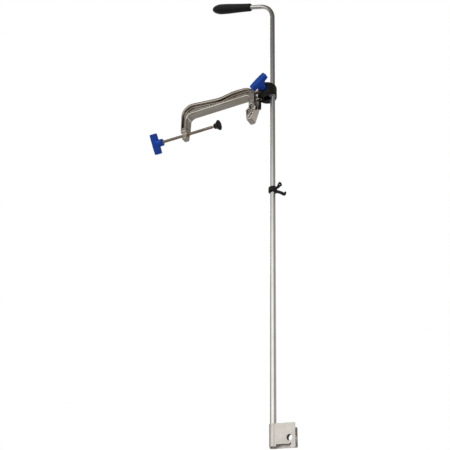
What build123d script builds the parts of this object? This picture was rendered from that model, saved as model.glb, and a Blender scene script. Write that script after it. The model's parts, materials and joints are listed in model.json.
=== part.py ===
"""Bike repair stand: a slim bent pole with a hand grip, a swivel C-clamp, a cord hook and a foot bracket.

Millimetres, +Z up along the pole. The origin is the centre of the cross bore in the foot bracket.
The grip and the C-clamp reach out to -X, and the bracket's flanges reach out to +X.
"""
from build123d import *
import os
from math import cos, radians, sin

os.makedirs("parts", exist_ok=True)

# Pole: a half-inch tube, bent at the top. Heights are measured from the foot bracket's lower end.
tube_r = 6.35
tube_wall = 1.2
mast_x = -36.0
foot_z = -17.8
tube_lift = 3.4
bend_start = 1140.0
bend_r = 68.0
bend_angle = 68.2
handle_straight = 156.0
plug_length = 14.0
plug_head = 2.0

# Hand grip, measured along its own axis from the open end
grip_offset = 28.0
grip_length = 140.0
grip_lip_r = 8.4
grip_neck_r = 11.0
grip_middle_r = 12.7
grip_middle_at = 52.0
grip_belly_r = 14.6
grip_belly_at = 106.0

# Foot bracket: a strap wrapped round the pole, ending in two parallel flanges
strap_t = 1.6
flange_gap = 9.0
flange_end = 12.0
strap_height = 44.5
wrap_front_lift = 3.0
front_flange_lift = 6.5
rear_flange_top = 36.5
notch_r = 1.8
notch_inset = 10.0
cross_bore_r = 6.0
rivet_r = 2.0
rivet_head_r = 3.4
rivet_head_t = 1.3
rivet_heights = (15.0, 28.0)

# Cord hook: a split collar with two curled prongs, each with a thicker root. They are lists of points, out
# from the pole and up from the collar's middle, with the radius last.
hook_height = 572.0
collar_r = 10.5
collar_half = 6.8
collar_round = 2.0
collar_slot_length = 8.0
collar_slot_width = 3.0
prongs = (
    ((8.2, 2.8), (12.5, 4.4), (16.6, 6.6), 3.2),
    ((8.2, 4.2), (12.0, 6.0), (15.0, 11.5), (17.9, 15.4), (20.8, 11.7), (21.4, 7.8), 2.3),
    ((8.2, -4.6), (14.0, -8.4), (20.0, -11.8), (25.0, -15.6), 3.7),
    ((8.2, -3.4), (13.5, -8.0), (19.3, -10.9), (25.0, -17.2), (29.0, -19.7), (32.0, -15.0), 2.7),
)

# Rod clamp: an upright drum split into two cheeks, with the pole through one side of it
pivot_height = 872.2
pivot_reach = 17.0
drum_reach = 15.5
drum_r = 25.2
drum_half = 17.0
drum_round = 4.0
drum_grooves = (-10.0, 10.0)
groove_width = 1.2
groove_depth = 0.9
swing_r = 10.6
cheek_pocket = 6.8
cheek_gap = 0.5
liner_r = 7.4
stud_r = 4.0
stud_front = 38.5
spot_face_r = 11.5
spot_face_y = 18.0
bolt_head_r = 7.5
bolt_head_y = 15.1
bolt_head_t = 5.2

# Wing knob on the stud
knob_washer_t = 1.6
hub_r = 9.4
insert_depth = 16.0
insert_r = 6.0
wing_start = 20.8
wing_flare = 9.0
wing_t = 13.5
wing_length = 50.5
wing_tilt = 41.0

# Swivel link and its upright pin
link_reach = 36.5
link_eye_r = 8.4
link_half_t = 5.7
link_height = 16.0
barrel_r = 5.6
barrel_half = 10.0
lug_t = 6.0
lug_length = 16.0
pin_r = 3.0
pin_foot = 826.0
pin_cap_r = 3.9
pin_cap_bottom = 3.0
pin_head_r = 5.2
pin_head_t = 2.4

# C-frame casting
frame_half_width = 13.0
web_half = 4.5
spine_low = 872.0
leg_out = 274.5
leg_in = 252.8
leg_foot = 816.0
rim_round = 2.6
jaw_floor = 8.8
screw_height = 814.5
boss_reach = 259.3
boss_half_length = 7.5
boss_half_width = 9.0
boss_below = 17.0
boss_above = 14.0

# Clamp screw, its handle and the swivel pad
screw_r = 3.95
bush_r = 6.0
bush_half = 8.5
neck_r = 2.6
ball_r = 4.2
ball_reach = 165.2
race_half = 2.7
face_bed = 7.2
face_r = 12.3
face_t = 3.2
handle_reach = 335.5
screw_in_handle = 20.0
handle_hub_r = 10.0
handle_tilt = 37.0
handle_hub_length = 18.0
handle_bar_start = 14.0
handle_bar_t = 18.0
handle_bar_length = 57.0
handle_bore_depth = 20.4
handle_pin_r = 1.5
handle_pin_inset = 8.0

# Fits
press_gap = 0.02
running_gap = 0.05
free_gap = 0.3


def at(reach, height, y=0.0):
    """Point at a distance out from the pole toward -X and a height above the foot."""
    return (mast_x - reach, y, foot_z + height)


def facing_y(reach, height, y):
    """Sketch plane that looks along +Y: local x is +X and local y is +Z."""
    return Plane(origin=at(reach, height, y), x_dir=(1, 0, 0), z_dir=(0, -1, 0))


def facing_x(reach, height):
    """Sketch plane square to X, with local x along +Y and local y along +Z."""
    return Plane(origin=at(reach, height), x_dir=(0, 1, 0), z_dir=(1, 0, 0))


def facing_z(reach, height):
    """Level sketch plane, with local x along +X and local y along +Y."""
    return Plane(origin=at(reach, height), x_dir=(1, 0, 0), z_dir=(0, 0, 1))


def save(piece, name):
    piece.part.label = name
    export_step(piece.part, f"parts/{name}.step")


screw_axis = Axis(at(0, screw_height), (1, 0, 0))

rivet_spots = [(0, -height) for height in rivet_heights]


def rivet_plane(y):
    """Plane facing +Y behind the pole, with local y pointing down from the foot."""
    return Plane(origin=at(0, 0, y), x_dir=(1, 0, 0), z_dir=(0, 1, 0))


# ---------------------------------------------------------------- pole

with BuildPart() as mast_tube:
    with BuildLine(Plane.XZ) as mast_path:
        upright = Line((mast_x, foot_z + tube_lift), (mast_x, foot_z + bend_start))
        bend = JernArc(start=upright @ 1, tangent=upright % 1, radius=bend_r, arc_size=bend_angle)
        Line(bend @ 1, bend @ 1 + (bend % 1) * handle_straight)
    with BuildSketch(facing_z(0, tube_lift)):
        Circle(tube_r)
        Circle(tube_r - tube_wall, mode=Mode.SUBTRACT)
    sweep(path=mast_path.line)
    with BuildSketch(rivet_plane(0)):
        with Locations(*rivet_spots):
            Circle(rivet_r + press_gap)
    extrude(amount=2 * tube_r, mode=Mode.SUBTRACT)
save(mast_tube, "mast_tube")

grip_dir = bend % 1
grip_start = bend @ 1 + grip_dir * grip_offset
tube_tip = bend @ 1 + grip_dir * handle_straight
grip_plane = Plane(origin=grip_start, x_dir=grip_dir, z_dir=(0, -1, 0))
grip_axis = Axis(grip_start, grip_dir)

with BuildPart() as tube_plug:
    with BuildSketch(Plane(origin=tube_tip - grip_dir * plug_length, x_dir=(0, 1, 0), z_dir=grip_dir)):
        Circle(tube_r - tube_wall - press_gap)
    extrude(amount=plug_length)
    with BuildSketch(Plane(origin=tube_tip, x_dir=(0, 1, 0), z_dir=grip_dir)):
        Circle(tube_r - 0.1)
    extrude(amount=plug_head)
    fillet(tube_plug.edges().group_by(SortBy.DISTANCE)[-1].filter_by(GeomType.CIRCLE), 0.5)
save(tube_plug, "tube_plug")

grip_bore_end = handle_straight - grip_offset + 2.5
with BuildPart() as hand_grip:
    with BuildSketch(grip_plane):
        with BuildLine():
            bore_r = tube_r + press_gap
            mouth = Line((0, bore_r), (0, grip_lip_r))
            lip = ThreePointArc(mouth @ 1, (1.6, 10.2), (4.4, grip_neck_r))
            side = Spline(
                lip @ 1, (grip_middle_at, grip_middle_r), (grip_belly_at, grip_belly_r),
                tangents=[(1, 0.02), (1, 0)],
            )
            dome_length = grip_length - grip_belly_at
            dome = EllipticalCenterArc(
                (grip_belly_at, 0), dome_length, grip_belly_r, start_angle=0, arc_size=90
            )
            Polyline(dome @ 0, (grip_bore_end, 0), (grip_bore_end, bore_r), mouth @ 0)
        make_face()
    revolve(axis=grip_axis)
save(hand_grip, "hand_grip")

# ---------------------------------------------------------------- foot bracket

wrap_in = tube_r + press_gap
wrap_out = wrap_in + strap_t
flange_out = flange_gap / 2 + strap_t
flange_length = flange_end - mast_x

with BuildPart() as foot_bracket:
    with BuildSketch(facing_z(0, 0)) as strap_plan:
        Circle(wrap_out)
        Rectangle(flange_length, 2 * flange_out, align=(Align.MIN, Align.CENTER))
        fillet(strap_plan.vertices().filter_by(lambda v: 0 < v.X - mast_x < wrap_out), 1.2)
        Rectangle(flange_length, flange_gap, align=(Align.MIN, Align.CENTER), mode=Mode.SUBTRACT)
        Circle(wrap_in, mode=Mode.SUBTRACT)
    extrude(amount=strap_height)
    # the front half is cut shorter at its lower end, as far as a small round notch near the flange's end
    flange_root = wrap_out + 0.6
    notch_at = flange_length - notch_inset
    with BuildSketch(facing_y(0, 0, -wrap_out - 1)):
        with Locations((-wrap_out - 1, 0)):
            Rectangle(2 * wrap_out + 2, wrap_front_lift, align=(Align.MIN, Align.MIN))
        with Locations((flange_root, 0)):
            Rectangle(notch_at - flange_root, front_flange_lift, align=(Align.MIN, Align.MIN))
        with Locations((notch_at, front_flange_lift)):
            Circle(notch_r)
    extrude(amount=-(wrap_out + 1), mode=Mode.SUBTRACT)
    # the rear flange stops short of the top
    with BuildSketch(facing_y(0, rear_flange_top, 0)):
        with Locations((flange_root, 0)):
            Rectangle(flange_length, strap_height, align=(Align.MIN, Align.MIN))
    extrude(amount=-(flange_out + 1), mode=Mode.SUBTRACT)
    with BuildSketch(Plane.XZ):
        Circle(cross_bore_r)
    extrude(amount=flange_out + 1, both=True, mode=Mode.SUBTRACT)
    with BuildSketch(rivet_plane(0)):
        with Locations(*rivet_spots):
            Circle(rivet_r + press_gap)
    extrude(amount=wrap_out + 1, mode=Mode.SUBTRACT)
    end_corners = foot_bracket.edges().filter_by(Axis.Y).filter_by(
        lambda e: e.center().X > flange_end - 0.5
    )
    fillet(end_corners, 2.0)
save(foot_bracket, "foot_bracket")

with BuildPart() as bracket_rivets:
    rivet_end = tube_r - tube_wall - 2
    with BuildSketch(rivet_plane(rivet_end)):
        with Locations(*rivet_spots):
            Circle(rivet_r)
    extrude(amount=wrap_out - rivet_end + 0.1)
    with BuildSketch(rivet_plane(wrap_out)):
        with Locations(*rivet_spots):
            Circle(rivet_head_r)
    extrude(amount=rivet_head_t)
    fillet(bracket_rivets.edges().filter_by(GeomType.CIRCLE).group_by(Axis.Y)[-1], 1.0)
save(bracket_rivets, "bracket_rivets")

# ---------------------------------------------------------------- cord hook

with BuildPart() as cord_hook:
    with BuildSketch(facing_z(0, hook_height - collar_half)):
        Circle(collar_r)
        with Locations((-collar_r, 0)):
            Rectangle(collar_slot_length, collar_slot_width, mode=Mode.SUBTRACT)
    extrude(amount=2 * collar_half)
    fillet(cord_hook.edges().filter_by(GeomType.CIRCLE), collar_round)
    for *points, prong_r in prongs:
        with BuildLine(facing_y(0, hook_height, 0)) as prong_path:
            Spline(*points)
        with BuildSketch(Plane(origin=prong_path.line @ 0, z_dir=prong_path.line % 0)):
            Circle(prong_r)
        sweep(path=prong_path.line)
        with Locations(prong_path.line @ 1):
            Sphere(prong_r)
    with BuildSketch(facing_z(0, hook_height - 2 * collar_half)):
        Circle(tube_r + running_gap)
    extrude(amount=4 * collar_half, mode=Mode.SUBTRACT)
save(cord_hook, "cord_hook")

# ---------------------------------------------------------------- rod clamp

with BuildPart() as clamp_liner:
    with BuildSketch(facing_z(0, pivot_height - drum_half)):
        Circle(liner_r)
        Circle(tube_r + running_gap, mode=Mode.SUBTRACT)
        Rectangle(2 * liner_r + 1, 2 * cheek_gap, mode=Mode.SUBTRACT)
    extrude(amount=2 * drum_half)
save(clamp_liner, "clamp_liner")


def make_cheek(side):
    """Half of the drum on the side of Y that the sign gives, cut for the link, the liner and the stud."""
    clear = 2 * drum_r
    with BuildPart() as cheek:
        with BuildSketch(facing_z(drum_reach, pivot_height - drum_half)):
            Circle(drum_r)
        extrude(amount=2 * drum_half)
        fillet(cheek.edges().filter_by(GeomType.CIRCLE), drum_round)
        for level in drum_grooves:
            with BuildSketch(facing_z(drum_reach, pivot_height + level - groove_width / 2)):
                Circle(drum_r + 1)
                Circle(drum_r - groove_depth, mode=Mode.SUBTRACT)
            extrude(amount=groove_width, mode=Mode.SUBTRACT)
        with BuildSketch(facing_y(drum_reach, pivot_height, side * cheek_gap)):
            Rectangle(2 * clear, 2 * clear)
        extrude(amount=side * clear, mode=Mode.SUBTRACT)
        with BuildSketch(facing_y(0, pivot_height, 0)):
            with Locations((-liner_r - 0.5, 0)):
                Rectangle(clear, clear, align=(Align.MAX, Align.CENTER))
        extrude(amount=-side * cheek_pocket, mode=Mode.SUBTRACT)
        with BuildSketch(facing_z(0, pivot_height - clear)):
            Circle(liner_r + running_gap)
        extrude(amount=2 * clear, mode=Mode.SUBTRACT)
        # room for the frame's lugs, which swing about the link's pin
        with BuildSketch(facing_z(link_reach, pivot_height - clear)):
            Circle(swing_r)
        extrude(amount=2 * clear, mode=Mode.SUBTRACT)
        with BuildSketch(facing_y(pivot_reach, pivot_height, 0)):
            Circle(stud_r + running_gap)
        extrude(amount=-side * clear, mode=Mode.SUBTRACT)
        if side > 0:
            with BuildSketch(facing_y(pivot_reach, pivot_height, bolt_head_y)):
                RegularPolygon(bolt_head_r + 0.1, 6)
            extrude(amount=-clear, mode=Mode.SUBTRACT)
        else:
            with BuildSketch(facing_y(pivot_reach, pivot_height, -spot_face_y)):
                Circle(spot_face_r)
            extrude(amount=clear, mode=Mode.SUBTRACT)
    return cheek


front_cheek = make_cheek(-1)
rear_cheek = make_cheek(1)
save(front_cheek, "front_cheek")
save(rear_cheek, "rear_cheek")

with BuildPart() as friction_washers:
    for y in (-cheek_pocket, link_half_t + free_gap):
        with BuildSketch(facing_y(pivot_reach, pivot_height, y)):
            Circle(link_eye_r - 0.5)
            Circle(stud_r + running_gap, mode=Mode.SUBTRACT)
        extrude(amount=-(cheek_pocket - link_half_t - free_gap))
save(friction_washers, "friction_washers")

with BuildPart() as clamp_stud:
    with BuildSketch(facing_y(pivot_reach, pivot_height, -stud_front)):
        Circle(stud_r)
    extrude(amount=-(stud_front + bolt_head_y + bolt_head_t))
    with BuildSketch(facing_y(pivot_reach, pivot_height, bolt_head_y)):
        RegularPolygon(bolt_head_r, 6)
    extrude(amount=-bolt_head_t)
    chamfer(clamp_stud.edges().group_by(Axis.Y)[0], 0.8)
save(clamp_stud, "clamp_stud")

with BuildPart() as knob_washer:
    with BuildSketch(facing_y(pivot_reach, pivot_height, -spot_face_y)):
        Circle(hub_r)
        Circle(stud_r + running_gap, mode=Mode.SUBTRACT)
    extrude(amount=knob_washer_t)
save(knob_washer, "knob_washer")

knob_base = spot_face_y + knob_washer_t + free_gap
knob_plane = Plane(
    origin=at(pivot_reach, pivot_height, -knob_base),
    x_dir=(cos(radians(wing_tilt)), 0, sin(radians(wing_tilt))),
    z_dir=(0, -1, 0),
)


def wing_outline(length, middle, end):
    """Bow-tie outline of a wing handle, seen along its turning axis."""
    half = length / 2
    with BuildSketch() as outline:
        with BuildLine():
            top = ThreePointArc((-half, end / 2), (0, middle / 2), (half, end / 2))
            low = ThreePointArc((half, -end / 2), (0, -middle / 2), (-half, -end / 2))
            Line(top @ 1, low @ 0)
            Line(low @ 1, top @ 0)
        make_face()
        fillet(outline.vertices(), 2.5)
    return outline.sketch


with BuildPart() as wing_knob:
    with BuildSketch(knob_plane):
        Circle(hub_r)
    extrude(amount=wing_start + 2)
    with BuildSketch(knob_plane.offset(wing_start)):
        add(wing_outline(wing_length, 17, 13.5))
    extrude(amount=wing_t)
    with BuildSketch(knob_plane.offset(wing_start - wing_flare)):
        Circle(hub_r - 0.2)
    with BuildSketch(knob_plane.offset(wing_start + 1)):
        Ellipse(wing_length / 2 - 4, hub_r - 0.2)
    loft()
    with BuildSketch(knob_plane):
        Circle(insert_r + press_gap)
    extrude(amount=insert_depth + 4, mode=Mode.SUBTRACT)
    fillet(wing_knob.faces().sort_by(Axis.Y)[0].edges(), 2.5)
save(wing_knob, "wing_knob")

with BuildPart() as knob_insert:
    with BuildSketch(knob_plane):
        Circle(insert_r)
        Circle(stud_r + running_gap, mode=Mode.SUBTRACT)
    extrude(amount=insert_depth)
save(knob_insert, "knob_insert")

# ---------------------------------------------------------------- swivel link

with BuildPart() as swivel_link:
    with BuildSketch(facing_y(pivot_reach, pivot_height, -link_half_t)):
        Circle(link_eye_r)
        with Locations(((pivot_reach - link_reach) / 2, 0)):
            Rectangle(link_reach - pivot_reach, link_height)
    extrude(amount=-2 * link_half_t)
    with BuildSketch(facing_z(link_reach, pivot_height - barrel_half)):
        Circle(barrel_r)
    extrude(amount=2 * barrel_half)
    with BuildSketch(facing_y(pivot_reach, pivot_height, 0)):
        Circle(stud_r + running_gap)
    extrude(amount=barrel_r + 1, both=True, mode=Mode.SUBTRACT)
    with BuildSketch(facing_z(link_reach, pivot_height)):
        Circle(pin_r + running_gap)
    extrude(amount=barrel_half + 1, both=True, mode=Mode.SUBTRACT)
save(swivel_link, "swivel_link")

# ---------------------------------------------------------------- C-frame

frame_plane = Plane(origin=at(0, 0), x_dir=(1, 0, 0), z_dir=(0, -1, 0))


def round_corners(outline, radii):
    """Round each listed corner of a sketch, given as (x, y, radius)."""
    for x, y, radius in radii:
        corner = outline.vertices().sort_by_distance((x, y, 0))[0]
        fillet(corner, radius)


def frame_outline():
    """Side view of the casting: screw leg, saddle-backed spine and a shield-shaped fixed jaw."""
    corners = (
        (-leg_out + 4.5, leg_foot, 2.0),
        (-leg_out, 912.5, 33.0),
        (-152.0, 898.0, 80.0),
        (-112.0, 905.3, 80.0),
        (-46.5, 902.6, 38.0),
        (-46.5, 850.0, 4.0),
        (-42.5, 831.0, 2.5),
        (-54.5, 793.0, 5.0),
        (-69.0, 793.0, 4.0),
        (-72.0, 826.5, 2.0),
        (-63.5, 833.0, 2.0),
        (-64.0, spine_low, 9.0),
        (-leg_in, spine_low, 14.0),
        (-leg_in, leg_foot, 2.0),
    )
    with BuildSketch() as outline:
        with BuildLine():
            Polyline(*((x, y) for x, y, radius in corners), close=True)
        make_face()
        round_corners(outline, corners)
    return outline.sketch


def spine_pocket():
    """Long recess that leaves a rim along the spine and down the screw leg."""
    corners = (
        (-268.5, 904.0, 28.0),
        (-152.0, 889.0, 60.0),
        (-112.0, 896.5, 60.0),
        (-65.0, 896.0, 10.0),
        (-65.0, 880.0, 5.0),
        (-260.5, 880.0, 9.0),
        (-260.5, 832.0, 2.2),
        (-267.0, 832.0, 2.2),
    )
    with BuildSketch() as outline:
        with BuildLine():
            Polyline(*((x, y) for x, y, radius in corners), close=True)
        make_face()
        round_corners(outline, corners)
    return outline.sketch


def jaw_pockets():
    """Recesses that leave crossed ribs in the shield of the fixed jaw."""
    with BuildSketch() as outline:
        for corners in (
            ((-59.5, 840.5), (-53.5, 840.0), (-49.0, 828.5), (-55.0, 822.0), (-58.5, 828.5)),
            ((-66.5, 826.0), (-61.0, 826.5), (-57.5, 818.5), (-60.0, 810.5), (-66.0, 811.0)),
            ((-53.0, 819.5), (-48.8, 824.5), (-47.6, 822.0), (-50.5, 814.5), (-53.0, 815.0)),
            ((-58.5, 808.5), (-55.0, 812.5), (-51.8, 811.0), (-55.5, 799.0), (-64.0, 798.5)),
        ):
            with BuildLine():
                Polyline(*corners, close=True)
            make_face()
    return outline.sketch


with BuildPart() as c_frame:
    with BuildSketch(frame_plane):
        add(frame_outline())
    extrude(amount=frame_half_width, both=True)
    outer_rims = (
        c_frame.faces().sort_by(Axis.Y)[0].edges() + c_frame.faces().sort_by(Axis.Y)[-1].edges()
    )
    fillet(outer_rims, rim_round)
    for side in (-1, 1):
        with BuildSketch(facing_y(0, 0, side * web_half)):
            add(spine_pocket())
        extrude(amount=-side * frame_half_width, mode=Mode.SUBTRACT)
        with BuildSketch(facing_y(0, 0, side * jaw_floor)):
            add(jaw_pockets())
        extrude(amount=-side * frame_half_width, mode=Mode.SUBTRACT)
    with BuildSketch(facing_z(boss_reach, screw_height - boss_below)):
        RectangleRounded(2 * boss_half_length, 2 * boss_half_width, 3)
    extrude(amount=boss_below + boss_above)
    for low in (pivot_height - barrel_half - free_gap - lug_t, pivot_height + barrel_half + free_gap):
        with BuildSketch(facing_z(link_reach, low)):
            Circle(barrel_r)
            Rectangle(lug_length, 2 * barrel_r, align=(Align.MAX, Align.CENTER))
        extrude(amount=lug_t)
    with BuildSketch(facing_z(link_reach, pivot_height)):
        Circle(barrel_r + 1.5)
    extrude(amount=barrel_half + free_gap, both=True, mode=Mode.SUBTRACT)
    with BuildSketch(facing_z(link_reach, pivot_height)):
        Circle(pin_r + press_gap)
    extrude(amount=barrel_half + lug_t + 2, both=True, mode=Mode.SUBTRACT)
    with BuildSketch(facing_x(boss_reach + boss_half_length + 12, screw_height)):
        Circle(bush_r + press_gap)
    extrude(amount=2 * boss_half_length + 24, mode=Mode.SUBTRACT)
save(c_frame, "c_frame")

with BuildPart() as link_pin:
    pin_top = pivot_height + barrel_half + free_gap + lug_t
    with BuildSketch(facing_z(link_reach, pin_foot + pin_cap_bottom)):
        Circle(pin_r)
    extrude(amount=pin_top - pin_foot - pin_cap_bottom)
    with BuildSketch(facing_z(link_reach, pin_top)):
        Circle(pin_head_r)
    extrude(amount=pin_head_t)
    fillet(link_pin.edges().group_by(Axis.Z)[-1], 1.0)
save(link_pin, "link_pin")

with BuildPart() as pin_cap:
    cap_top = pivot_height - barrel_half - free_gap - lug_t
    with BuildSketch(facing_z(link_reach, pin_foot)):
        Circle(pin_cap_r)
    extrude(amount=cap_top - pin_foot)
    with BuildSketch(facing_z(link_reach, pin_foot + pin_cap_bottom)):
        Circle(pin_r + press_gap)
    extrude(amount=cap_top - pin_foot - pin_cap_bottom, mode=Mode.SUBTRACT)
    fillet(pin_cap.edges().group_by(Axis.Z)[0], 1.2)
save(pin_cap, "pin_cap")

with BuildPart() as screw_bush:
    with BuildSketch(facing_x(boss_reach + bush_half, screw_height)):
        Circle(bush_r)
        Circle(screw_r + running_gap, mode=Mode.SUBTRACT)
    extrude(amount=2 * bush_half)
save(screw_bush, "screw_bush")

# ---------------------------------------------------------------- screw, handle and pad

with BuildPart() as clamp_screw:
    thread_end = ball_reach + ball_r + 3.6
    with BuildSketch(facing_x(handle_reach + screw_in_handle, screw_height)):
        Circle(screw_r)
    extrude(amount=handle_reach + screw_in_handle - thread_end)
    with BuildSketch(facing_x(thread_end, screw_height)):
        Circle(neck_r)
    extrude(amount=thread_end - ball_reach)
    with Locations(at(ball_reach, screw_height)):
        Sphere(ball_r)
    with BuildSketch(facing_z(handle_reach + handle_pin_inset, screw_height)):
        Circle(handle_pin_r + press_gap)
    extrude(amount=screw_r + 1, both=True, mode=Mode.SUBTRACT)
save(clamp_screw, "clamp_screw")

handle_plane = Plane(
    origin=at(handle_reach, screw_height),
    x_dir=(0, -sin(radians(handle_tilt)), cos(radians(handle_tilt))),
    z_dir=(1, 0, 0),
)
with BuildPart() as t_handle:
    with BuildSketch(handle_plane):
        Circle(handle_hub_r)
    extrude(amount=-handle_hub_length)
    with BuildSketch(handle_plane.offset(-handle_bar_start)):
        add(wing_outline(handle_bar_length, 15, 13))
    extrude(amount=-handle_bar_t)
    with BuildSketch(handle_plane):
        Circle(screw_r + press_gap)
    extrude(amount=-handle_bore_depth, mode=Mode.SUBTRACT)
    fillet(t_handle.faces().sort_by(Axis.X)[0].edges(), 2.5)
    with BuildSketch(facing_z(handle_reach + handle_pin_inset, screw_height)):
        Circle(handle_pin_r + press_gap)
    extrude(amount=handle_hub_r + 2, both=True, mode=Mode.SUBTRACT)
save(t_handle, "t_handle")

with BuildPart() as handle_pin:
    with BuildSketch(facing_z(handle_reach + handle_pin_inset, screw_height)):
        Circle(handle_pin_r)
    extrude(amount=handle_hub_r - 0.4, both=True)
save(handle_pin, "handle_pin")

# the pad's profiles are points along the screw's axis from the ball's centre, and out from that axis
pad_plane = Plane(origin=at(ball_reach, screw_height), x_dir=(1, 0, 0), z_dir=(0, -1, 0))

with BuildPart() as pad_race:
    with BuildSketch(pad_plane):
        with BuildLine():
            seat_r = ball_r + running_gap
            seat_edge = (seat_r**2 - race_half**2) ** 0.5
            Polyline((-race_half, seat_edge), (-race_half, 5.8), (race_half, 5.8), (race_half, seat_edge))
            ThreePointArc((race_half, seat_edge), (0, seat_r), (-race_half, seat_edge))
        make_face()
    revolve(axis=screw_axis)
save(pad_race, "pad_race")

with BuildPart() as swivel_pad:
    with BuildSketch(pad_plane):
        with BuildLine():
            Polyline(
                (-5.2, 4.6), (-5.2, 6.9), (-3.6, 7.5), (0.4, 8.2), (4.4, 11.0), (7.4, 13.7), (9.6, 13.7),
                (9.6, face_r), (face_bed, face_r), (face_bed, 6.1), (-3.0, 6.1), (-3.9, 4.6), close=True,
            )
        make_face()
    revolve(axis=screw_axis)
save(swivel_pad, "swivel_pad")

with BuildPart() as pad_face:
    with BuildSketch(facing_x(ball_reach - face_bed, screw_height)):
        Circle(face_r - press_gap)
    extrude(amount=face_t)
    fillet(pad_face.edges().group_by(Axis.X)[-1], 0.8)
save(pad_face, "pad_face")
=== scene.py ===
import json
from math import asin, cos, pi, radians, sin

import bmesh
import bpy
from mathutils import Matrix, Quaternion, Vector


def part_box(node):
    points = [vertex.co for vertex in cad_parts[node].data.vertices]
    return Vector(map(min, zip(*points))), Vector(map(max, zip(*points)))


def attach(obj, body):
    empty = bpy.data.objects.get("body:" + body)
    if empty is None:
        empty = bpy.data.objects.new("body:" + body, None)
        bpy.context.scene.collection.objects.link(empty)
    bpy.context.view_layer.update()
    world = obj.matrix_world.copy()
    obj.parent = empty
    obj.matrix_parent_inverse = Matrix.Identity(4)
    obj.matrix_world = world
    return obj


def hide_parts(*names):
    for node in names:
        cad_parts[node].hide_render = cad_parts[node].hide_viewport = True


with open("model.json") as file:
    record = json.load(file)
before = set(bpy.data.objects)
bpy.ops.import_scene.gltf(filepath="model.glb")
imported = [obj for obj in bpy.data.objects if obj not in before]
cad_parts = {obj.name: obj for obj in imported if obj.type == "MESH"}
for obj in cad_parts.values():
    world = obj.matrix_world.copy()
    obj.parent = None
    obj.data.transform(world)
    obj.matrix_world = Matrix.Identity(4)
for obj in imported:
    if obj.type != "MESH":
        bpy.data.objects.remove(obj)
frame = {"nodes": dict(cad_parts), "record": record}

nodes = frame["nodes"]
scene = bpy.context.scene
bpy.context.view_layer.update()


# ---------------------------------------------------------------- places taken from the frame

def low(node):
    return Vector(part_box(node)[0])


def high(node):
    return Vector(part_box(node)[1])


def middle(node):
    return (low(node) + high(node)) / 2


mast_r = (high("mast_tube").y - low("mast_tube").y) / 2
mast_x = high("mast_tube").x - mast_r
foot_z = low("foot_bracket").z
ball_x = middle("pad_race").x
screw_z = middle("clamp_screw").z


# ---------------------------------------------------------------- node trees

class NodeTree:
    """A node tree with short ways to add nodes and join them."""

    def __init__(self, tree):
        self.tree = tree

    def add(self, kind, **settings):
        node = self.tree.nodes.new(kind)
        for key, value in settings.items():
            setattr(node, key, value)
        return node

    def link(self, output, socket):
        self.tree.links.new(output, socket)

    def spread(self, value, source, target, curve="LINEAR"):
        """Maps a value from the source range to the target range, and clamps it there."""
        node = self.add("ShaderNodeMapRange", interpolation_type=curve)
        for key, number in zip(("From Min", "From Max", "To Min", "To Max"), (*source, *target)):
            node.inputs[key].default_value = number
        self.link(value, node.inputs["Value"])
        return node.outputs["Result"]

    def maths(self, operation, a, b):
        node = self.add("ShaderNodeMath", operation=operation)
        for socket, value in zip(node.inputs, (a, b)):
            if isinstance(value, (int, float)):
                socket.default_value = value
            else:
                self.link(value, socket)
        return node.outputs["Value"]


class Surface(NodeTree):
    """A material's node tree, with the textures that the finishes are made of."""

    def __init__(self, name):
        self.material = bpy.data.materials.new(name)
        self.material.use_nodes = True
        super().__init__(self.material.node_tree)
        self.shader = self.tree.nodes["Principled BSDF"]
        self.place = self.add("ShaderNodeTexCoord").outputs["Object"]

    def texture(self, kind, stretch, settings, **inputs):
        """A texture on object coordinates that are scaled differently along each axis."""
        mapping = self.add("ShaderNodeMapping")
        mapping.inputs["Scale"].default_value = stretch
        self.link(self.place, mapping.inputs["Vector"])
        node = self.add(kind, **settings)
        for key, value in inputs.items():
            node.inputs[key].default_value = value
        self.link(mapping.outputs["Vector"], node.inputs["Vector"])
        return node

    def noise(self, scale, detail=4.0, rough=0.5, stretch=(1, 1, 1), distortion=0.0):
        node = self.texture("ShaderNodeTexNoise", stretch, {}, Scale=scale, Detail=detail, Roughness=rough,
                            Distortion=distortion)
        return node.outputs["Fac"]

    def cells(self, scale, stretch=(1, 1, 1)):
        node = self.texture("ShaderNodeTexVoronoi", stretch, {"feature": "DISTANCE_TO_EDGE"}, Scale=scale)
        return node.outputs["Distance"]

    def mix(self, factor, a, b):
        node = self.add("ShaderNodeMix", data_type="RGBA")
        self.link(factor, node.inputs["Factor"])
        for socket, value in ((node.inputs["A"], a), (node.inputs["B"], b)):
            if isinstance(value, tuple):
                socket.default_value = (*value, 1)
            else:
                self.link(value, socket)
        return node.outputs["Result"]

    def bump(self, height, distance, strength, under=None):
        node = self.add("ShaderNodeBump")
        node.inputs["Distance"].default_value = distance
        node.inputs["Strength"].default_value = strength
        self.link(height, node.inputs["Height"])
        if under is not None:
            self.link(under, node.inputs["Normal"])
        return node.outputs["Normal"]

    def finish(self, colour, rough, normal=None, **constants):
        """Joins colour, roughness and normal to the shader, and sets its constant sockets."""
        self.link(colour, self.shader.inputs["Base Color"])
        self.link(rough, self.shader.inputs["Roughness"])
        if normal is not None:
            self.link(normal, self.shader.inputs["Normal"])
        for key, value in constants.items():
            self.shader.inputs[key.replace("_", " ")].default_value = value
        return self.material


# ---------------------------------------------------------------- finishes

def scaled(colour, factor):
    return tuple(factor * c for c in colour)


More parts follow.
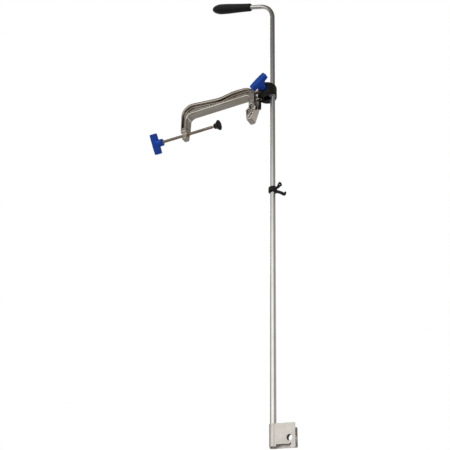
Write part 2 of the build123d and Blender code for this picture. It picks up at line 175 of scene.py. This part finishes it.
def brushed_metal(name, pale, dark, rough, along, line_depth=0.3):
    """Metal with fine drawn lines along one axis, soft stains and a few handling marks."""
    n = Surface(name)
    line_stretch = tuple(14.0 if axis == along else 900.0 for axis in "XYZ")
    mark_stretch = tuple(0.35 if axis == along else 1.0 for axis in "XYZ")
    lines = n.noise(scale=1.0, detail=3.0, rough=0.6, stretch=line_stretch)
    stains = n.noise(scale=38.0, detail=5.0, rough=0.6)
    marks = n.cells(scale=90.0, stretch=mark_stretch)
    tone = n.mix(n.spread(stains, (0.35, 0.7), (0.0, 1.0)), pale, dark)
    tone = n.mix(n.spread(lines, (0.3, 0.7), (0.0, line_depth)), tone, scaled(dark, 0.8))
    scuff = n.spread(marks, (0.0, 0.03), (0.02, 0.0))
    shine = n.maths("ADD", n.spread(stains, (0.3, 0.75), (rough - 0.02, rough + 0.03)), scuff)
    return n.finish(tone, shine, n.bump(lines, distance=0.000004, strength=0.2), Metallic=1.0)


def plated_casting(name, pale, dark, painted_recess_shade):
    """Bright plating over a smoothed sand casting: long waves, faint orange peel, and painted shade that
    darkens its hollows.
    """
    n = Surface(name)
    long_x = (0.4, 1.0, 1.0)
    waves = n.noise(scale=30.0, detail=2.0, rough=0.4, stretch=long_x)
    peel = n.noise(scale=420.0, detail=3.0, rough=0.55)
    stains = n.noise(scale=24.0, detail=4.0, rough=0.55, stretch=long_x)
    hollow = n.add("ShaderNodeAmbientOcclusion", samples=8)
    hollow.inputs["Distance"].default_value = 0.012
    tone = n.mix(n.spread(stains, (0.35, 0.7), (0.0, 1.0)), pale, dark)
    # Painted shade: the colour is darkened toward a dark brown in recesses, where ambient occlusion finds
    # them.
    tone = n.mix(n.spread(hollow.outputs["AO"], (0.35, 0.85), (0.85, 0.0)), tone, painted_recess_shade)
    shine = n.spread(stains, (0.3, 0.75), (0.05, 0.13))
    normal = n.bump(waves, distance=0.0018, strength=0.5)
    normal = n.bump(peel, distance=0.000004, strength=0.3, under=normal)
    return n.finish(tone, shine, normal, Metallic=1.0)


def moulded_plastic(name, colour, deep, rough, grain=700.0, gloss=0.5):
    """Moulded plastic: fine grain, slow tone changes, and thin rub marks."""
    n = Surface(name)
    slow = n.noise(scale=45.0, detail=3.0)
    fine = n.noise(scale=grain, detail=2.0, rough=0.6)
    rubs = n.noise(scale=30.0, detail=8.0, rough=0.75, stretch=(1.0, 1.0, 6.0), distortion=0.6)
    rubbed = tuple(min(1.0, c + 0.02) for c in scaled(colour, 1.25))
    tone = n.mix(n.spread(slow, (0.35, 0.7), (0.0, 1.0)), colour, deep)
    tone = n.mix(n.spread(rubs, (0.62, 0.72), (0.0, 0.35)), tone, rubbed)
    shine = n.maths("ADD", n.spread(slow, (0.3, 0.7), (rough - 0.04, rough + 0.05)),
                    n.spread(rubs, (0.55, 0.75), (0.0, 0.12)))
    return n.finish(tone, shine, n.bump(fine, distance=0.00006, strength=0.55), Specular_IOR_Level=gloss)


def soft_rubber(name, colour, rough, gloss):
    """Dipped soft rubber: pebble grain, uneven skin and faint bloom."""
    n = Surface(name)
    pebbles = n.spread(n.cells(scale=1300.0), (0.0, 0.25), (0.0, 1.0))
    bloom = n.noise(scale=55.0, detail=5.0, rough=0.65)
    tone = n.mix(n.spread(bloom, (0.4, 0.75), (0.0, 0.6)), colour, scaled(colour, 2.4))
    shine = n.spread(bloom, (0.3, 0.75), (rough - 0.06, rough + 0.1))
    normal = n.bump(pebbles, distance=0.00008, strength=0.45)
    normal = n.bump(n.noise(scale=90.0, detail=2.0), distance=0.0002, strength=0.2, under=normal)
    return n.finish(tone, shine, normal, Specular_IOR_Level=gloss)


slot_finish = {
    "satin_aluminium": brushed_metal("satin_aluminium", pale=(0.78, 0.75, 0.71), dark=(0.72, 0.69, 0.65),
                                     rough=0.22, along="Z", line_depth=0.06),
    "pale_aluminium": brushed_metal("pale_aluminium", pale=(0.80, 0.755, 0.70), dark=(0.68, 0.64, 0.585),
                                    rough=0.42, along="X", line_depth=0.2),
    "rivet_aluminium": brushed_metal("rivet_aluminium", pale=(0.80, 0.79, 0.77), dark=(0.62, 0.61, 0.59),
                                     rough=0.33, along="Z"),
    "zinc_steel": brushed_metal("zinc_steel", pale=(0.66, 0.59, 0.51), dark=(0.45, 0.37, 0.30),
                                rough=0.27, along="X", line_depth=0.45),
    "blackened_steel": brushed_metal("blackened_steel", pale=(0.05, 0.05, 0.052), dark=(0.025, 0.024, 0.024),
                                     rough=0.36, along="Z"),
    "brass": brushed_metal("turned_brass", pale=(0.78, 0.60, 0.30), dark=(0.55, 0.40, 0.18),
                           rough=0.28, along="Y"),
    # The plated casting's last colour is painted shade for its recesses.
    "chrome": plated_casting("plated_casting", pale=(0.68, 0.63, 0.56), dark=(0.50, 0.44, 0.365),
                             painted_recess_shade=(0.15, 0.115, 0.085)),
    "blue_plastic": moulded_plastic("blue_plastic", colour=(0.004, 0.088, 0.60), deep=(0.003, 0.062, 0.45),
                                    rough=0.36, gloss=0.32),
    "black_plastic": moulded_plastic("black_plastic", colour=(0.013, 0.0105, 0.010),
                                     deep=(0.008, 0.0065, 0.006), rough=0.38, grain=900.0, gloss=0.3),
    "white_nylon": moulded_plastic("white_nylon", colour=(0.78, 0.76, 0.70), deep=(0.66, 0.63, 0.56),
                                   rough=0.45),
    "black_rubber": soft_rubber("soft_rubber", colour=(0.007, 0.0068, 0.0066), rough=0.55, gloss=0.3),
}
slot_of = {part["node"]: part["material_slot"] for part in frame["record"]["subparts"]}
for name, node in nodes.items():
    finish = slot_finish[slot_of[name]]
    if not node.material_slots:
        node.data.materials.append(finish)
    for holder in node.material_slots:
        holder.material = finish


# ---------------------------------------------------------------- camera, floor and light

view_turn = radians(25.0)       # heading, from +Y toward -X
view_pitch = radians(28.0)      # looking up
view_roll = -0.00204            # radians
view_distance = 1.168           # level distance to the pole
view_drop = 0.142               # below the foot
view_lens = 46.45               # mm
view_shift = -0.1063            # share of the picture's width
view_reach = 60.0

heading = Vector((-sin(view_turn), cos(view_turn), 0))
aim = heading * cos(view_pitch) + Vector((0, 0, sin(view_pitch)))
camera_data = bpy.data.cameras.new("camera")
camera_data.lens = view_lens
camera_data.shift_x = view_shift
camera_data.clip_end = view_reach
camera = bpy.data.objects.new("camera", camera_data)
camera.rotation_euler = (aim.to_track_quat("-Z", "Y") @ Quaternion((0, 0, 1), view_roll)).to_euler()
camera.location = Vector((mast_x, 0, foot_z - view_drop)) - heading * view_distance
scene.collection.objects.link(camera)
scene.camera = camera

floor_half = 7.0
floor_z = foot_z - 0.30
floor_corners = [(x * floor_half, y * floor_half, floor_z) for x, y in ((-1, -1), (1, -1), (1, 1), (-1, 1))]
floor_mesh = bpy.data.meshes.new("floor")
floor_mesh.from_pydata(floor_corners, [], [(0, 1, 2, 3)])
floor = bpy.data.objects.new("floor", floor_mesh)
scene.collection.objects.link(floor)
paper = Surface("pale_floor")
paper_tone = paper.mix(paper.noise(scale=1.5), (0.86, 0.86, 0.86), (0.83, 0.83, 0.83))
paper_rough = paper.spread(paper.noise(scale=40.0), (0.3, 0.7), (0.75, 0.85))
floor_mesh.materials.append(paper.finish(paper_tone, paper_rough))

lit_place = Vector((mast_x - 0.12, 0, foot_z + 0.7))


def soft_box(name, at, width, height, power):
    """A rectangular lamp, turned to the clamp."""
    data = bpy.data.lights.new(name, "AREA")
    data.shape = "RECTANGLE"
    data.size = width
    data.size_y = height
    data.energy = power
    lamp = bpy.data.objects.new(name, data)
    lamp.location = at
    lamp.rotation_euler = (lit_place - Vector(at)).to_track_quat("-Z", "Y").to_euler()
    scene.collection.objects.link(lamp)


soft_box("top", at=(-0.85, 0.2, 2.8), width=1.3, height=0.8, power=8)
soft_box("rim", at=(-1.7, 1.0, 1.9), width=0.9, height=1.4, power=5)

# The camera sees a plain white room. The room that lights the object is brightest behind the camera, dimmer
# ahead of it and at the sides, and nearly dark overhead.
world = bpy.data.worlds.new("studio")
world.use_nodes = True
scene.world = world
room = NodeTree(world.node_tree)
direction = room.add("ShaderNodeSeparateXYZ")
room.link(room.add("ShaderNodeTexCoord").outputs["Generated"], direction.inputs["Vector"])
ahead = room.spread(direction.outputs["Y"], (0.1, 0.75), (0.0, 0.2), "SMOOTHSTEP")
behind = room.spread(direction.outputs["Y"], (-0.97, -0.3), (1.2, 0.25), "SMOOTHSTEP")
low_part = room.spread(direction.outputs["Z"], (0.40, 0.76), (1.0, 0.05), "SMOOTHSTEP")
room_base = 0.08
glow = room.maths("MULTIPLY", room.maths("ADD", ahead, behind), low_part)
glow = room.maths("ADD", glow, room_base)
to_eye = room.add("ShaderNodeLightPath").outputs["Is Camera Ray"]
glow = room.maths("MULTIPLY", glow, room.maths("SUBTRACT", 1.0, to_eye))
background = world.node_tree.nodes["Background"]
background.inputs["Color"].default_value = (1, 1, 1, 1)
room.link(room.maths("ADD", glow, to_eye), background.inputs["Strength"])
scene.view_settings.view_transform = "Standard"


# ---------------------------------------------------------------- pieces that stand in for CAD nodes

def stand_in(thing, node_name, body):
    """Gives a piece the finish of the CAD node that it replaces, and rides it on a body."""
    slot_name = slot_of[node_name]
    thing.data.materials.clear()
    thing.data.materials.append(slot_finish[slot_name])
    for face in thing.data.polygons:
        face.use_smooth = True
    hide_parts(node_name)
    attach(thing, body)


def baked(thing):
    """Applies the object's modifiers to its mesh."""
    bpy.context.view_layer.update()
    graph = bpy.context.evaluated_depsgraph_get()
    mesh = bpy.data.meshes.new_from_object(thing.evaluated_get(graph))
    thing.modifiers.clear()
    thing.data = mesh


def softened(node_name, new_name, voxel, rounds, keep):
    """A copy of a CAD node with every edge rounded, as a casting or moulding has."""
    thing = bpy.data.objects.new(new_name, nodes[node_name].data.copy())
    scene.collection.objects.link(thing)
    remesh = thing.modifiers.new("remesh", "REMESH")
    remesh.mode = "VOXEL"
    remesh.voxel_size = voxel
    smooth = thing.modifiers.new("smooth", "SMOOTH")
    smooth.factor = 0.5
    smooth.iterations = rounds
    if keep < 1.0:
        thinner = thing.modifiers.new("thin", "DECIMATE")
        thinner.ratio = keep
    baked(thing)
    return thing


# CAD node, ending of the new piece's name, body, voxel size, rounds of smoothing, share of the faces kept
soft_edged = (
    ("c_frame", "casting", "frame", 0.0009, 8, 1.0),
    ("wing_knob", "moulding", "knob", 0.0005, 5, 0.6),
    ("t_handle", "moulding", "screw", 0.0006, 5, 0.6),
    ("front_cheek", "moulding", "rod_clamp", 0.0006, 4, 0.6),
    ("rear_cheek", "moulding", "rod_clamp", 0.0006, 4, 0.6),
    ("cord_hook", "moulding", "hook", 0.0004, 3, 0.7),
    ("swivel_link", "forging", "link", 0.0005, 4, 0.6),
)
for node_name, ending, body, voxel, rounds, keep in soft_edged:
    stand_in(softened(node_name, node_name + "_" + ending, voxel, rounds, keep), node_name, body)

edge_round = 0.00035
sharp_angle = radians(40)
for node_name in ("foot_bracket", "swivel_pad", "pad_face"):
    edge = nodes[node_name].modifiers.new("edge", "BEVEL")
    edge.width = edge_round
    edge.segments = 2
    edge.limit_method = "ANGLE"
    edge.angle_limit = sharp_angle


# ---------------------------------------------------------------- clamp screw with its thread

screw_r = 0.00395
screw_pitch = 0.00125
root_r = screw_r - 0.55 * screw_pitch
end_chamfer = 0.0004
neck_r = 0.0026
neck_cone = 0.0012
neck_x = ball_x - 0.0078
thread_start_gap = 0.001
thread_end_gap = 0.002
turn_steps = 28
round_steps = 64
ball_steps = 18
shading_angle = radians(50)
point_r = 1e-7                  # a smaller ring is a single point


def mesh_of(shape, name):
    mesh = bpy.data.meshes.new(name)
    shape.to_mesh(mesh)
    shape.free()
    return mesh


def turned_core():
    """The screw's plain body turned round its axis: shank, cone, neck and ball."""
    left, right = low("clamp_screw").x, high("clamp_screw").x
    ball_r = right - ball_x
    neck_angle = asin(neck_r / ball_r)
    ball = [(ball_x - ball_r * cos(t), ball_r * sin(t)) for t in
            (neck_angle + (pi - neck_angle) * k / ball_steps for k in range(ball_steps + 1))]
    shank = [
        (left, 0.0), (left, root_r - end_chamfer), (left + end_chamfer, root_r),
        (neck_x - neck_cone, root_r), (neck_x, neck_r),
    ]
    axis = Vector((1, 0, 0))
    side = axis.orthogonal().normalized()
    up = axis.cross(side)
    shape = bmesh.new()
    rings = []
    for along, radius in shank + ball:
        centre = Vector((0, 0, screw_z)) + axis * along
        if radius < point_r:
            rings.append([shape.verts.new(centre)])
            continue
        rings.append([
            shape.verts.new(centre + radius * (side * cos(turn) + up * sin(turn)))
            for turn in (2 * pi * k / round_steps for k in range(round_steps))
        ])
    for a, b in zip(rings, rings[1:]):
        for k in range(round_steps):
            after = (k + 1) % round_steps
            corners = (a[k % len(a)], a[after % len(a)], b[after % len(b)], b[k % len(b)])
            shape.faces.new(tuple(dict.fromkeys(corners)))
    bmesh.ops.recalc_face_normals(shape, faces=shape.faces)
    return mesh_of(shape, "core")


def helical_thread():
    """The thread alone, wound along the screw, with its crest fading out at both ends."""
    start_x = low("clamp_screw").x + thread_start_gap
    turns = int((neck_x - thread_end_gap - start_x) / screw_pitch)
    last = turns * turn_steps
    # place along one pitch, and radius
    form = ((0.0, root_r), (0.12, root_r), (0.45, screw_r), (0.62, screw_r), (0.95, root_r))
    shape = bmesh.new()
    rows = []
    for k in range(last + 1):
        turn = 2 * pi * k / turn_steps
        fade = min(1.0, k / turn_steps, (last - k) / turn_steps)
        row = []
        for offset, radius in form:
            x = start_x + screw_pitch * (k / turn_steps + offset - 0.5)
            r = root_r + (radius - root_r) * fade
            row.append(shape.verts.new((x, r * cos(turn), screw_z + r * sin(turn))))
        rows.append(row)
    for a, b in zip(rows, rows[1:]):
        for p in range(len(form) - 1):
            shape.faces.new((a[p], b[p], b[p + 1], a[p + 1]))
    for k in range(last - turn_steps):
        shape.faces.new((rows[k][-1], rows[k + 1][-1], rows[k + 1 + turn_steps][0], rows[k + turn_steps][0]))
    return mesh_of(shape, "thread")


whole = bmesh.new()
for mesh in (turned_core(), helical_thread()):
    whole.from_mesh(mesh)
screw = bpy.data.objects.new("clamp_screw_threaded", mesh_of(whole, "screw"))
scene.collection.objects.link(screw)
stand_in(screw, "clamp_screw", "screw")
screw.data.set_sharp_from_angle(angle=shading_angle)
